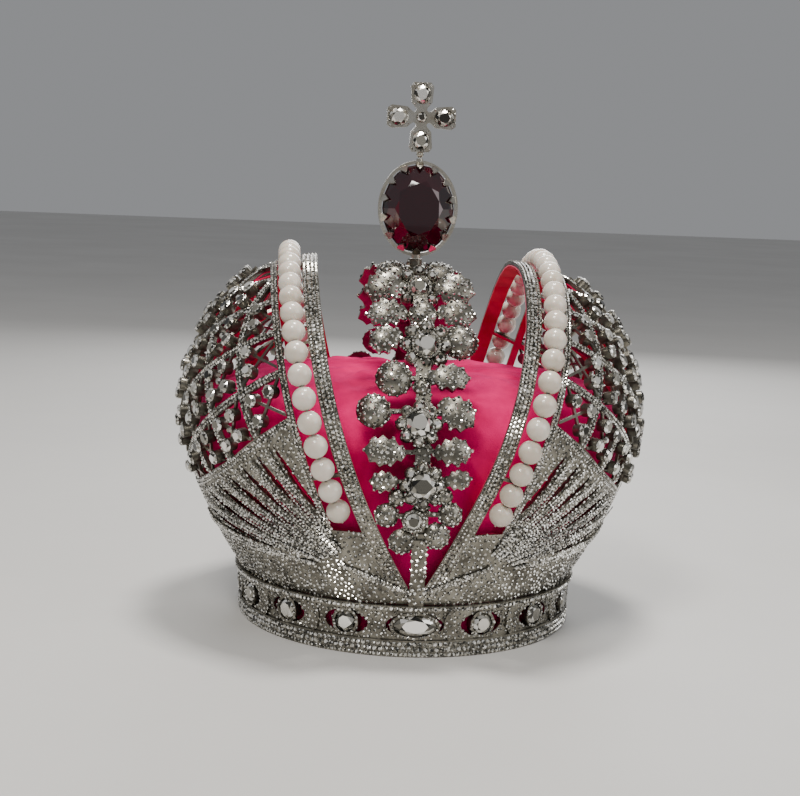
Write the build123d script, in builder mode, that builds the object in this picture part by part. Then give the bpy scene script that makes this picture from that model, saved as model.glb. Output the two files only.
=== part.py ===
"""Arched crown: circlet, two open-work half domes, pearls, middle arch, cap and top stone."""
import os
from math import atan2, cos, degrees, hypot, pi, radians, sin, sqrt, tan

from build123d import *

os.makedirs("parts", exist_ok=True)

# Millimetres. X runs to the wearer's side, -Y to the front, +Z up, and the base rim lies on Z = 0.
CIRCLET_HEIGHT = 25.0
CIRCLET_WALL = 2.0
RIMS = [(0.0, 8.2), (22.3, CIRCLET_HEIGHT)]
RIM_PROUD = 1.2
WINDOWS = 16
WINDOW_WIDTH = 22.0
WINDOW_HEIGHT = 12.0
WINDOW_MIDDLE = 15.3
COLLET_RADIUS = 6.7
COLLET_TOP = 1.2
COLLET_DEPTH = 3.6
COLLET_LEDGE = 1.9
BAND_STONE_RADIUS = 5.2
FRONT_WINDOW_WIDTH = 28.0
FRONT_STONE_HALF = 10.6
SEAT_GAP = 0.3
STONE_SIDES = 12
OVAL_SIDES = 48

# Oval sections of the circlet's outside: height, half width, half depth.
CIRCLET_ROWS = [(0.0, 85.0, 91.0), (13.0, 85.5, 91.3), (CIRCLET_HEIGHT, 87.6, 91.6)]

# Oval sections of the half domes' outer skin: height, half width, half depth.
DOME_ROWS = [
    (16.0, 81.0, 88.5),
    (25.3, 86.6, 89.5),
    (39.0, 95.5, 91.0),
    (52.0, 102.5, 92.3),
    (66.0, 109.3, 95.0),
    (82.0, 115.0, 101.5),
    (100.0, 117.8, 107.0),
    (115.0, 117.4, 108.8),
    (131.0, 114.4, 107.0),
    (147.0, 108.4, 100.4),
    (160.0, 100.3, 90.3),
    (170.0, 91.0, 78.0),
    (177.0, 81.0, 65.5),
    (182.3, 69.5, 51.0),
    (184.8, 58.0, 40.0),
    (185.8, 46.0, 30.0),
]
DOME_FOOT = CIRCLET_HEIGHT + SEAT_GAP
DOME_WALL = 1.8
LINING = 0.6
HALF_GAP = 0.15

# The pearl row seen from the front is an arc about this point, and both rails follow it.
ROW_CENTRE_X = -286.8
ROW_CENTRE_Z = 207.3
ROW_RADIUS = 352.7
# The same row seen from the side is an ellipse about this height.
ROW_HALF_DEPTH = 101.0
ROW_MIDDLE_HEIGHT = 107.5
ROW_RISE = 79.5
ROW_FALL = 102.0
ROW_LOW_ANGLE = -26.5
PEARL_RADIUS = 5.65
PEARL_PITCH = 11.42
PEARL_BORE = 1.2
THREAD_RADIUS = 0.45
SLOT_HALF_WIDTH = 6.3
SLOT_FOOT = 60.0
RAIL_WIDTH = 3.5
BORDER_WIDTH = 7.7
CROSSBAR = 1.6
PEARLS_TO_A_BAR = 6

# Lattice on the half domes, drawn on the skin by length along it from the side and height up it.
# Rungs fall from the pearl rail towards the side, and hoops run down towards the front and back.
RUNG_SLOPE = 0.66
RUNG_STEP = 30.5
RUNG_START = 15.5
HOOP_LEAN = 0.62
HOOP_STEP = 29.5
HOOP_START = 27.8
RIBBON = 4.2
EDGE_LOW = 67.0
EDGE_HIGH = 114.0
EDGE_REACH = 93.0
SMALLEST_GAP_AREA = 20.0
CUT_DEPTH = 11.0

# Rosettes: four collets on a cross that bridges the cell.
ROSETTE_REACH = 7.6
ROSETTE_COLLET = 3.3
ROSETTE_RISE = 2.6
ROSETTE_STONE = 2.9
ROSETTE_CROWN = 1.2
CROSS_WIRE = 1.3

# Palm branch of one quarter, fanned from a point given by its length along the skin from the
# front middle and its height up the skin. Columns: slope in degrees, near end, far end, width.
FAN_ALONG = 27.0
FAN_UP = 16.0
LEAF_GAPS = [
    (56.0, 30.0, 76.0, 3.4),
    (47.5, 26.0, 78.0, 3.4),
    (39.0, 24.0, 80.0, 3.4),
    (31.0, 24.0, 84.0, 3.4),
    (23.5, 26.0, 92.0, 3.4),
    (16.5, 28.0, 102.0, 3.4),
    (9.5, 32.0, 112.0, 3.0),
]
PALM_LEAVES = [
    (51.5, 12.0, 78.0, 6.2),
    (43.0, 12.0, 79.0, 6.4),
    (35.0, 12.0, 82.0, 6.4),
    (27.2, 14.0, 88.0, 6.4),
    (20.0, 16.0, 97.0, 6.4),
    (13.0, 18.0, 106.0, 6.2),
    (5.5, 20.0, 112.0, 5.6),
    (21.8, -26.5, 10.0, 2.6),
]
LEAF_RISE = 1.3

# Middle arch seen from the side: a half circle over two wider side arcs.
ARCH_RADIUS = 101.0
ARCH_SPRING = 76.5
ARCH_SIDE_RADIUS = 170.0
ARCH_WIDTH = 7.0
ARCH_WALL = 2.0
LEAF_THICKNESS = 1.3
LEAF_RIB_RISE = 0.9
STEM_WIDTH = 2.0
# Outline of an oak leaf as shares of its length and width, from its stem to its tip.
OAK_OUTLINE = [
    (-0.50, 0.03), (-0.40, 0.26), (-0.30, 0.22), (-0.18, 0.45), (-0.06, 0.36), (0.08, 0.50),
    (0.18, 0.36), (0.32, 0.38), (0.38, 0.18), (0.50, 0.00),
]
# Domed oak leaves on the front of the arch: side, height, length, width, turn, lean in degrees.
# The lean tips a leaf's face from the arch's own slope down towards the front.
OAK_LEAVES = [
    (12.0, 133.5, 21.0, 14.0, 0.0, 8.0),
    (15.6, 118.0, 20.0, 17.0, -35.0, 0.0),
    (-18.0, 100.5, 20.5, 15.0, 175.0, 0.0),
    (14.0, 101.0, 18.5, 14.0, 5.0, 0.0),
    (-18.0, 87.0, 14.0, 10.5, 180.0, 0.0),
    (16.5, 88.5, 13.5, 10.0, 8.0, 0.0),
    (-18.0, 149.5, 18.0, 14.5, 202.0, 22.0),
    (-17.0, 160.5, 21.0, 15.5, 184.0, 30.0),
    (17.0, 161.0, 20.0, 15.5, -6.0, 30.0),
    (-17.5, 171.5, 21.0, 18.5, 188.0, 44.0),
    (17.5, 171.5, 21.0, 18.5, -8.0, 44.0),
    (-11.5, 177.2, 18.0, 15.0, 188.0, 30.0),
    (11.5, 177.2, 18.0, 15.0, -8.0, 30.0),
    (0.5, 160.5, 15.0, 16.0, 5.0, 30.0),
]
# Round buds on the front of the arch: side, height, radius, rise, lean.
BUDS = [
    (-14.0, 133.0, 8.8, 5.5, 8.0),
    (-1.0, 129.5, 4.2, 3.2, 0.0),
    (-23.5, 118.5, 8.2, 5.5, 0.0),
    (-11.5, 79.5, 4.2, 3.0, 0.0),
    (10.5, 80.5, 4.2, 3.0, 0.0),
    (-16.0, 71.0, 5.8, 3.6, 0.0),
    (13.5, 72.0, 5.8, 3.6, 0.0),
    (7.5, 61.5, 6.4, 3.6, 0.0),
    (-8.5, 58.5, 6.2, 3.6, 0.0),
    (18.0, 149.5, 8.6, 5.6, 22.0),
]
LEAF_DOME = 4.4
# Stone settings on the front of the arch: side, height, outer radius, stone radius, lean.
GARLAND_SETTINGS = [
    (-2.0, 113.0, 11.4, 6.0, 0.0),
    (0.3, 85.3, 11.3, 6.0, 0.0),
    (-3.5, 69.0, 5.8, 3.9, 0.0),
    (1.5, 147.5, 13.0, 5.6, 20.0),
    (0.0, 172.0, 12.0, 4.6, 46.0),
]
SETTING_LIFT = 2.4
SETTING_DOME = 0.17
SETTING_DEPTH = 3.2
SETTING_LOBES = 8
SEAT_SLOPE = 40.0

# Cap sections outside: height, half width, half depth.
CAP_ROWS = [
    (1.0, 80.5, 86.5),
    (14.0, 81.5, 87.3),
    (27.0, 83.5, 84.5),
    (45.0, 95.0, 87.0),
    (66.0, 104.0, 90.0),
    (85.0, 110.0, 93.5),
    (100.0, 111.5, 93.0),
    (112.0, 109.0, 87.0),
    (121.0, 101.0, 77.0),
    (127.5, 86.0, 62.0),
    (131.5, 64.0, 44.0),
    (133.0, 36.0, 24.0),
]
CAP_WALL = 1.8

# The red stone and its claw ring, standing across the front.
STONE_WIDTH = 37.0
STONE_HEIGHT = 45.0
STONE_MIDDLE = 211.0
RED_STONE_SIDES = 16
STONE_FRONT = 9.5
STONE_BACK = 12.5
STONE_TABLE_SHARE = 0.66
STONE_CULET_SHARE = 0.45
CLAW_RING = 1.8
CLAW_RING_DEPTH = 3.0
CLAWS = 14
CLAW_THICKNESS = 0.9
CLAW_OUTLINE = [(-0.8, -1.5), (2.6, -2.0), (6.0, 0), (2.6, 2.0), (-0.8, 1.5)]
CLAW_START = 0.9
TOP_COLLET = [(176.0, 6.4, 5.4), (181.4, 3.2, 3.8)]

# The cross above: four arms round a middle stone. Arm outline: distance out, half width.
CROSS_MIDDLE = 257.4
CROSS_DEPTH = 4.4
ARM_OUTLINE = [(2.0, 2.4), (4.6, 2.8), (7.4, 5.2), (15.4, 5.9), (17.6, 4.3)]
ARM_STONE_PLACE = 11.6
ARM_STONE = (4.9, 4.3)
ARM_LEDGE = 1.5
MIDDLE_BOSS = 4.4
MIDDLE_STONE = 2.5
PRONG_RADIUS = 0.7
PRONG_LENGTH = 1.6
CROSS_KNOB = 1.9
CROSS_KNOB_HEIGHT = 238.7


def between(rows, place):
    """A table's row at a fractional row number, on a smooth curve through the rows."""
    first = min(max(int(place), 0), len(rows) - 2)
    f = place - first
    near = [rows[min(max(k, 0), len(rows) - 1)] for k in range(first - 1, first + 3)]
    return tuple(
        0.5 * (2 * b + (c - a) * f + (2 * a - 5 * b + 4 * c - d) * f**2 + (3 * b - a - 3 * c + d) * f**3)
        for a, b, c, d in zip(*near)
    )


def moved_out(rows, offset):
    """The same oval sections, moved out along the wall's own slope."""
    moved = []
    for k, (height, half_width, half_depth) in enumerate(rows):
        low = rows[max(k - 1, 0)]
        high = rows[min(k + 1, len(rows) - 1)]
        rise = high[0] - low[0]
        spread = (high[1] + high[2] - low[1] - low[2]) / 2
        length = hypot(rise, spread)
        out = offset * rise / length
        moved.append((height - offset * spread / length, half_width + out, half_depth + out))
    return moved


def oval_ring(height, half_width, half_depth):
    """Corners of the many-sided oval whose sides touch an ellipse and face fixed directions."""
    turns = [2 * pi * k / OVAL_SIDES - pi / 2 for k in range(OVAL_SIDES + 1)]
    reach = [hypot(half_width * cos(turn), half_depth * sin(turn)) for turn in turns]
    corners = []
    for k in range(OVAL_SIDES):
        bend = sin(turns[k + 1] - turns[k])
        x = (reach[k] * sin(turns[k + 1]) - reach[k + 1] * sin(turns[k])) / bend
        y = (reach[k + 1] * cos(turns[k]) - reach[k] * cos(turns[k + 1])) / bend
        corners.append(Vector(x, y, height))
    return corners


def stacked(rings):
    """A solid with flat sides through rings of corners whose matching sides are parallel."""
    faces = [Face(Wire.make_polygon(ring)) for ring in (rings[0], rings[-1])]
    for low, high in zip(rings, rings[1:]):
        for k in range(len(low)):
            faces.append(Face(Wire.make_polygon([low[k - 1], low[k], high[k], high[k - 1]])))
    return Solid(Shell(faces))


def oval_stack(rows):
    """A solid through oval sections."""
    return stacked([oval_ring(*row) for row in rows])


def oval_shell(rows, outer, inner):
    """A wall between two offsets of the same oval sections, open at both ends."""
    with BuildPart() as shell:
        add(oval_stack(moved_out(rows, outer)))
        add(oval_stack(moved_out(rows, inner)), mode=Mode.SUBTRACT)
    return shell.part


def skin_heights():
    """Length up the dome's side to each tenth of a table row."""
    steps = [(0.0, 1.0)]
    last = between(DOME_ROWS, 1.0)
    for k in range(1, 10 * (len(DOME_ROWS) - 2) + 1):
        row = between(DOME_ROWS, 1.0 + k / 10)
        length = hypot(row[0] - last[0], (row[1] + row[2] - last[1] - last[2]) / 2)
        steps.append((steps[-1][0] + length, 1.0 + k / 10))
        last = row
    return steps


SKIN_HEIGHTS = skin_heights()


def row_place(up):
    """Fractional table row at a length up the dome's side."""
    for (low, place), (high, following) in zip(SKIN_HEIGHTS, SKIN_HEIGHTS[1:]):
        if up <= high:
            return place + (following - place) * (up - low) / (high - low)
    return SKIN_HEIGHTS[-1][1]


def skin_point(angle, up):
    """Point of the outer skin at an angle from +X and a length up the side."""
    height, half_width, half_depth = between(DOME_ROWS, row_place(up))
    return Vector(half_width * cos(angle), half_depth * sin(angle), height)


def skin_angle(along, up):
    """Angle from +X at which a length along the skin falls, at a length up the side."""
    _, half_width, half_depth = between(DOME_ROWS, row_place(up))
    return 2 * along / (half_width + half_depth)


def skin_plane(along, up, start_angle=0.0, turn=0.0):
    """Plane on the skin, a length along its oval from start_angle, with its normal outward."""
    angle = start_angle + skin_angle(along, up)
    step = 0.01
    across = (skin_point(angle + step, up) - skin_point(angle - step, up)).normalized()
    upward = (skin_point(angle, up + 1.0) - skin_point(angle, up - 1.0)).normalized()
    turned = across * cos(radians(turn)) + upward * sin(radians(turn))
    return Plane(origin=skin_point(angle, up), x_dir=turned, z_dir=across.cross(upward))


def row_distance(point):
    """How far out from the pearl row's arc a point is, seen from the front."""
    return hypot(point.X - ROW_CENTRE_X, point.Z - ROW_CENTRE_Z) - ROW_RADIUS


def row_point(angle):
    """Point of the pearl row's centre line at an angle, in degrees, on its side ellipse."""
    y = -ROW_HALF_DEPTH * cos(radians(angle))
    z = ROW_MIDDLE_HEIGHT + (ROW_RISE if 0 < angle < 180 else ROW_FALL) * sin(radians(angle))
    x = ROW_CENTRE_X + sqrt(ROW_RADIUS**2 - (z - ROW_CENTRE_Z) ** 2)
    return Vector(x, y, z)


def pearl_angles():
    """Angles of the pearls, one pitch apart, from the front foot of the row to the back one."""
    half = [90.0]
    angle = 90.0
    while angle > ROW_LOW_ANGLE:
        previous = row_point(half[-1])
        angle -= 0.02
        if (row_point(angle) - previous).length >= PEARL_PITCH:
            half.append(angle)
    back = [180.0 - value for value in half[1:]]
    return list(reversed(half)) + back


def row_plane(angle):
    """Plane across the pearl row, its normal along the row and its x out from the arc."""
    here = row_point(angle)
    along = row_point(angle + 1.0) - row_point(angle - 1.0)
    out = Vector(here.X - ROW_CENTRE_X, 0, here.Z - ROW_CENTRE_Z)
    return Plane(origin=here, x_dir=out, z_dir=along)


def front_cylinder(radius):
    """A round bar along Y about the pearl row's centre."""
    with BuildPart() as bar:
        with BuildSketch(Plane.XZ):
            with Locations((ROW_CENTRE_X, ROW_CENTRE_Z)):
                Circle(radius)
        extrude(amount=130, both=True)
    return bar.part


def below_edge(raise_by):
    """Everything on one side of the crown under the lattice's lower edge ribbon."""
    ends = EDGE_REACH + 10
    with BuildPart() as under:
        with BuildSketch(Plane.YZ):
            with BuildLine():
                edge = ThreePointArc(
                    (-EDGE_REACH, EDGE_HIGH + raise_by),
                    (0, EDGE_LOW + raise_by),
                    (EDGE_REACH, EDGE_HIGH + raise_by),
                )
                Polyline(edge @ 1, (ends, EDGE_HIGH + raise_by), (ends, -5), (-ends, -5),
                         (-ends, EDGE_HIGH + raise_by), edge @ 0)
            make_face()
        extrude(amount=140)
    return under.part


def panel_region(margin):
    """The space in the back right quarter in which the lattice is cut."""
    near = RIBBON / 2 + margin
    with BuildPart() as region:
        with Locations((75, near + 62, 110)):
            Box(150, 124, 180)
        add(front_cylinder(ROW_RADIUS + SLOT_HALF_WIDTH + RAIL_WIDTH + margin), mode=Mode.SUBTRACT)
        add(below_edge(RIBBON / 2 + margin), mode=Mode.SUBTRACT)
    return region.part


def in_panel(point, margin):
    """Whether a point of the skin is inside the lattice panel by a margin."""
    rail = row_distance(point) - SLOT_HALF_WIDTH - RAIL_WIDTH
    sag = EDGE_HIGH - EDGE_LOW
    radius = (EDGE_REACH**2 + sag**2) / (2 * sag)
    edge = EDGE_LOW + radius - sqrt(max(radius**2 - point.Y**2, 0)) + RIBBON / 2
    return rail > margin and point.Z > edge + margin and point.X > 0


def lattice_point(rung, hoop):
    """Length along the skin and up it where two lattice lines cross, counted from the lowest."""
    rise = RUNG_START + RUNG_STEP * rung
    run = HOOP_START + HOOP_STEP * hoop
    along = (run - HOOP_LEAN * rise) / (1 + HOOP_LEAN * RUNG_SLOPE)
    return along, rise + RUNG_SLOPE * along


def lattice_cells(trim):
    """Plane of each cell in the back quarter, and its corners there, trimmed off the lines."""
    rung_share = 0.5 - trim * hypot(1, RUNG_SLOPE) / RUNG_STEP
    hoop_share = 0.5 - trim * hypot(1, HOOP_LEAN) / HOOP_STEP
    cells = []
    for i in range(7):
        for k in range(-1, 8):
            along, up = lattice_point(i + 0.5, k + 0.5)
            if along < -14 or up > SKIN_HEIGHTS[-1][0]:
                continue
            plane = skin_plane(along, up)
            corners = []
            for rung_side, hoop_side in ((1, 1), (1, -1), (-1, -1), (-1, 1)):
                spot = lattice_point(i + 0.5 + rung_side * rung_share, k + 0.5 + hoop_side * hoop_share)
                corner = plane.to_local_coords(skin_point(skin_angle(*spot), spot[1]))
                corners.append((corner.X, corner.Y))
            cells.append((plane, corners))
    return cells


def cell_cutters():
    """Cutters of the lattice's cells, trimmed by the rail, the lower edge and the side rib."""
    with BuildPart() as cells:
        for plane, corners in lattice_cells(RIBBON / 2):
            if in_panel(plane.origin, -16):
                with BuildSketch(plane):
                    Polygon(*corners, align=None)
        extrude(amount=CUT_DEPTH, both=True)
        add(panel_region(0), mode=Mode.INTERSECT)
    least = SMALLEST_GAP_AREA * 2 * CUT_DEPTH
    back = [solid for solid in cells.part.solids() if solid.volume > least]
    return back + [solid.mirror(Plane.XZ) for solid in back]


def slot_cutters():
    """The channel that the pearls lie in, with a crossbar left after every few pearls."""
    angles = pearl_angles()
    bars = []
    middle = len(angles) // 2
    for k in range(len(angles) - 1):
        if (k - middle) % PEARLS_TO_A_BAR == PEARLS_TO_A_BAR // 2:
            bars.append((angles[k] + angles[k + 1]) / 2)
    with BuildPart() as slot:
        add(front_cylinder(ROW_RADIUS + SLOT_HALF_WIDTH))
        add(front_cylinder(ROW_RADIUS - SLOT_HALF_WIDTH), mode=Mode.SUBTRACT)
        with Locations((60, 0, SLOT_FOOT + 70)):
            Box(100, 260, 140, mode=Mode.INTERSECT)
        for angle in bars:
            with Locations(row_plane(angle)):
                Box(24, 30, CROSSBAR, mode=Mode.SUBTRACT)
    return slot.part.solids()


def lens_prisms(table, depth):
    """Leaf-shaped prisms through the skin, fanned over the front right quarter."""
    with BuildPart() as prisms:
        for slope, near, far, width in table:
            middle = (near + far) / 2
            along = FAN_ALONG + middle * cos(radians(slope))
            up = FAN_UP + middle * sin(radians(slope))
            half = (far - near) / 2
            with BuildSketch(skin_plane(along, up, start_angle=-pi / 2, turn=slope)):
                with BuildLine():
                    upper = ThreePointArc((-half, 0), (0, width / 2), (half, 0))
                    ThreePointArc(upper @ 1, (0, -width / 2), upper @ 0)
                make_face()
        extrude(amount=depth, both=True)
    return prisms.part


def leaf_gap_cutters():
    """The long gaps between palm leaves, front and back."""
    front = lens_prisms(LEAF_GAPS, CUT_DEPTH)
    with BuildPart() as gaps:
        add(front)
        mirror(about=Plane.XZ)
        add(below_edge(-RIBBON / 2), mode=Mode.INTERSECT)
    return gaps.part.solids()


def half_of(shell):
    """The right half dome's part of a whole shell, cut at its inner border and its foot."""
    with BuildPart() as half:
        add(shell)
        add(front_cylinder(ROW_RADIUS - SLOT_HALF_WIDTH - BORDER_WIDTH), mode=Mode.SUBTRACT)
        split(bisect_by=Plane.YZ.offset(HALF_GAP), keep=Keep.TOP)
        split(bisect_by=Plane.XY.offset(DOME_FOOT), keep=Keep.TOP)
    return half.part


def open_work(shell):
    """A half dome cut through by its pearl channel, its lattice and the gaps between leaves."""
    half = half_of(shell)
    with BuildPart() as work:
        add(half)
        add(CUTTERS, mode=Mode.SUBTRACT)
    return work.part


def palm_relief():
    """The raised palm leaves of the right half dome, sunk half into its wall."""
    layer = half_of(oval_shell(DOME_ROWS, LEAF_RISE, -DOME_WALL / 2))
    front = lens_prisms(PALM_LEAVES, CUT_DEPTH)
    with BuildPart() as leaves:
        add(front)
        mirror(about=Plane.XZ)
        add(below_edge(0), mode=Mode.INTERSECT)
        add(layer, mode=Mode.INTERSECT)
    return leaves.part


def rosette(plane, corners, collets):
    """One rosette: collets with faceted stones on a cross that stops short of the ribbons."""
    with BuildPart() as work:
        with BuildSketch(plane.offset(-DOME_WALL / 2)):
            for (x, y), (far_x, far_y) in zip(corners[:2], corners[2:]):
                slope = degrees(atan2(y - far_y, x - far_x))
                with Locations(((x + far_x) / 2, (y + far_y) / 2)):
                    Rectangle(60, CROSS_WIRE, rotation=slope)
            Polygon(*corners, align=None, mode=Mode.INTERSECT)
        extrude(amount=CROSS_WIRE)
        add(PANEL, mode=Mode.INTERSECT)
        with BuildSketch(*[collet.offset(-DOME_WALL) for collet in collets]):
            Circle(ROSETTE_COLLET)
        extrude(amount=DOME_WALL + ROSETTE_RISE)
        stones = []
        for collet in collets:
            rings = []
            for level, share in ((-0.5, 1.0), (0.0, 1.0), (ROSETTE_CROWN, 0.65)):
                outline = oval_corners(ROSETTE_STONE, ROSETTE_STONE, 8, share)
                rings.append([collet.from_local_coords((x, y, ROSETTE_RISE + level)) for x, y in outline])
            stones.append(stacked(rings))
        add(stones)
    return [solid for solid in work.part.solids() if solid.volume > 40]


def rosettes():
    """Rosettes for the lattice cells of the right half dome, back quarter and front."""
    back = []
    clear = ROSETTE_COLLET + 0.4
    for plane, corners in lattice_cells(RIBBON / 2 + SEAT_GAP):
        collets = []
        for corner in corners:
            spot = plane.from_local_coords(Vector(*corner).normalized() * ROSETTE_REACH)
            if in_panel(spot, clear) and spot.Y > RIBBON / 2 + clear:
                collets.append(Plane(origin=spot, x_dir=plane.x_dir, z_dir=plane.z_dir))
        if len(collets) > 1:
            back += rosette(plane, corners, collets)
    return back + [solid.mirror(Plane.XZ) for solid in back]


def pearls():
    """The drilled pearls of the right row."""
    with BuildPart() as pearl:
        Sphere(PEARL_RADIUS)
        Cylinder(PEARL_BORE, 2 * PEARL_RADIUS + 0.1, mode=Mode.SUBTRACT)
    return [pearl.part.solid().moved(row_plane(angle).location) for angle in pearl_angles()]


def pearl_thread():
    """The thread of the right row, in straight runs from pearl to pearl."""
    points = [row_point(angle) for angle in pearl_angles()]
    start = points[0] - (points[1] - points[0]).normalized() * (PEARL_RADIUS + 1.0)
    end = points[-1] + (points[-1] - points[-2]).normalized() * (PEARL_RADIUS + 1.0)
    with BuildPart() as thread:
        with BuildLine():
            path = Polyline(start, *points[1:-1], end)
        with BuildSketch(Plane(origin=path @ 0, z_dir=path % 0)):
            Circle(THREAD_RADIUS)
        sweep(transition=Transition.RIGHT)
    return thread.part


def circlet_plane(index, lift=0.0):
    """Plane on the circlet's outside, its index counted in windows from the front."""
    angle = -pi / 2 + 2 * pi * index / WINDOWS
    _, half_width, half_depth = CIRCLET_ROWS[1]
    across = Vector(-half_width * sin(angle), half_depth * cos(angle), 0)
    origin = Vector(half_width * cos(angle), half_depth * sin(angle), WINDOW_MIDDLE)
    return Plane(origin=origin, x_dir=across, z_dir=across.cross(Vector(0, 0, 1))).offset(lift)


def oval_setting(planes, half_width, half_height):
    """Oval collets, each with a ledge for a stone of the given half sizes less a gap."""
    with BuildPart() as collets:
        with BuildSketch(*planes):
            Ellipse(half_width + 1.5, half_height + 1.5)
            Ellipse(half_width - 0.9, half_height - 0.9, mode=Mode.SUBTRACT)
        extrude(amount=-COLLET_DEPTH)
        with BuildSketch(*planes):
            Ellipse(half_width + 0.2, half_height + 0.2)
        extrude(amount=-COLLET_LEDGE, mode=Mode.SUBTRACT)
    return collets.part


def circlet():
    """The band with its rims, windows, upright leaves and stone collets."""
    side_planes = [circlet_plane(k) for k in range(1, WINDOWS)]
    leaf_planes = [circlet_plane(k + 0.5, -CIRCLET_WALL / 2) for k in range(WINDOWS)]
    inner = moved_in(CIRCLET_ROWS, CIRCLET_WALL)
    inner[-1] = (CIRCLET_HEIGHT + 1.0,) + inner[-1][1:]
    with BuildPart() as band:
        add(oval_stack(CIRCLET_ROWS))
        for low, high in RIMS:
            ends = [between(CIRCLET_ROWS, 2 * level / CIRCLET_HEIGHT) for level in (low, high)]
            add(oval_stack([(level, row[1] + RIM_PROUD, row[2] + RIM_PROUD)
                           for level, row in zip((low, high), ends)]))
        add(oval_stack(inner), mode=Mode.SUBTRACT)
        with BuildSketch(*side_planes):
            Ellipse(WINDOW_WIDTH / 2, WINDOW_HEIGHT / 2)
        extrude(amount=8, both=True, mode=Mode.SUBTRACT)
        with BuildSketch(circlet_plane(0)):
            Ellipse(FRONT_WINDOW_WIDTH / 2, WINDOW_HEIGHT / 2)
        extrude(amount=8, both=True, mode=Mode.SUBTRACT)
        with BuildSketch(*leaf_planes):
            with BuildLine():
                side = ThreePointArc((0, -7.4), (3.0, 0.6), (0, 7.4))
                ThreePointArc(side @ 1, (-3.0, 0.6), side @ 0)
            make_face()
        extrude(amount=CIRCLET_WALL / 2 + RIM_PROUD)
        tops = [plane.offset(COLLET_TOP) for plane in side_planes]
        add(oval_setting(tops, BAND_STONE_RADIUS, BAND_STONE_RADIUS))
        add(oval_setting([circlet_plane(0, COLLET_TOP)], FRONT_STONE_HALF, BAND_STONE_RADIUS))
    return band.part


def oval_corners(half_width, half_height, sides, share):
    """Corners of a many-sided oval, taken in by a share."""
    turns = [2 * pi * (k + 0.5) / sides for k in range(sides)]
    return [(share * half_width * cos(turn), share * half_height * sin(turn)) for turn in turns]


def cut_stone(plane, half_width, half_height, sides, front, back, table, culet):
    """A cut stone about a plane through its girdle: table and crown outward, pavilion inward."""
    rings = []
    for level, share in ((-back, culet), (0.0, 1.0), (0.15 * front, 1.0), (front, table)):
        corners = oval_corners(half_width, half_height, sides, share)
        rings.append([plane.from_local_coords((x, y, level)) for x, y in corners])
    return stacked(rings)


def round_stone(plane, radius):
    """A round cut stone whose pavilion follows the slope of its seat."""
    back = 0.5 * radius
    culet = 1 - 0.5 * tan(radians(SEAT_SLOPE))
    return cut_stone(plane, radius, radius, STONE_SIDES, 0.42 * radius, back, 0.6, culet)


def arch_depth(height):
    """How far the arch's outside stands in front of the middle at a height."""
    if height > ARCH_SPRING:
        return sqrt(ARCH_RADIUS**2 - (height - ARCH_SPRING) ** 2)
    return sqrt(ARCH_SIDE_RADIUS**2 - (height - ARCH_SPRING) ** 2) - ARCH_SIDE_RADIUS + ARCH_RADIUS


def arch_plane(side, height, turn=0.0, lift=0.0, lean=0.0):
    """Plane on the front of the arch, leaning forward, its normal outward, its x turned from +X."""
    depth = arch_depth(height)
    rise = height - ARCH_SPRING
    run = depth if height > ARCH_SPRING else depth - ARCH_RADIUS + ARCH_SIDE_RADIUS
    slope = atan2(rise, run) - radians(lean)
    normal = Vector(0, -cos(slope), sin(slope))
    up = Vector(0, sin(slope), cos(slope))
    turned = Vector(1, 0, 0) * cos(radians(turn)) + up * sin(radians(turn))
    return Plane(origin=Vector(side, -depth, height) + normal * lift, x_dir=turned, z_dir=normal)


def front_strap():
    """The front half of the arch's plain strap, which carries the garland."""
    with BuildPart() as strap:
        with BuildSketch(Plane.YZ):
            with Locations((0, ARCH_SPRING)):
                Circle(ARCH_RADIUS)
                Circle(ARCH_RADIUS - ARCH_WALL, mode=Mode.SUBTRACT)
            with Locations((-ARCH_RADIUS / 2, ARCH_SPRING + ARCH_RADIUS)):
                Rectangle(ARCH_RADIUS, 2 * ARCH_RADIUS, mode=Mode.INTERSECT)
        extrude(amount=ARCH_WIDTH / 2, both=True)
        with BuildSketch(Plane.YZ):
            with Locations((ARCH_SIDE_RADIUS - ARCH_RADIUS, ARCH_SPRING)):
                Circle(ARCH_SIDE_RADIUS)
                Circle(ARCH_SIDE_RADIUS - ARCH_WALL, mode=Mode.SUBTRACT)
            with Locations((-ARCH_RADIUS + 10, (DOME_FOOT + ARCH_SPRING) / 2)):
                Rectangle(24, ARCH_SPRING - DOME_FOOT, mode=Mode.INTERSECT)
        extrude(amount=ARCH_WIDTH / 2, both=True)
    return strap.part


def stem(side, height):
    """A short bar from the strap to something at its side."""
    with BuildPart() as bar:
        with BuildSketch(arch_plane(side / 2, height, lift=-ARCH_WALL / 2)):
            Rectangle(abs(side) + STEM_WIDTH, STEM_WIDTH)
        extrude(amount=LEAF_THICKNESS + ARCH_WALL / 2)
    return bar.part


def oak_leaf(side, height, length, width, turn, lean):
    """One domed oak leaf on the front of the arch, with its stem to the strap."""
    upper = [(x * length, y * width) for x, y in OAK_OUTLINE]
    lower = [(x, -y) for x, y in reversed(upper[:-1])]
    reach = length / 2 + 0.5
    ball = (reach**2 + LEAF_DOME**2) / (2 * LEAF_DOME)
    with BuildPart() as leaf:
        with Locations(arch_plane(side, height, turn, LEAF_DOME - ball + LEAF_THICKNESS / 2, lean)):
            Sphere(ball)
        with BuildSketch(arch_plane(side, height, turn, 0, lean)):
            Polygon(*upper, *lower, align=None)
        extrude(amount=2 * LEAF_DOME, mode=Mode.INTERSECT)
        add(stem(side, height))
    return leaf.part


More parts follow.
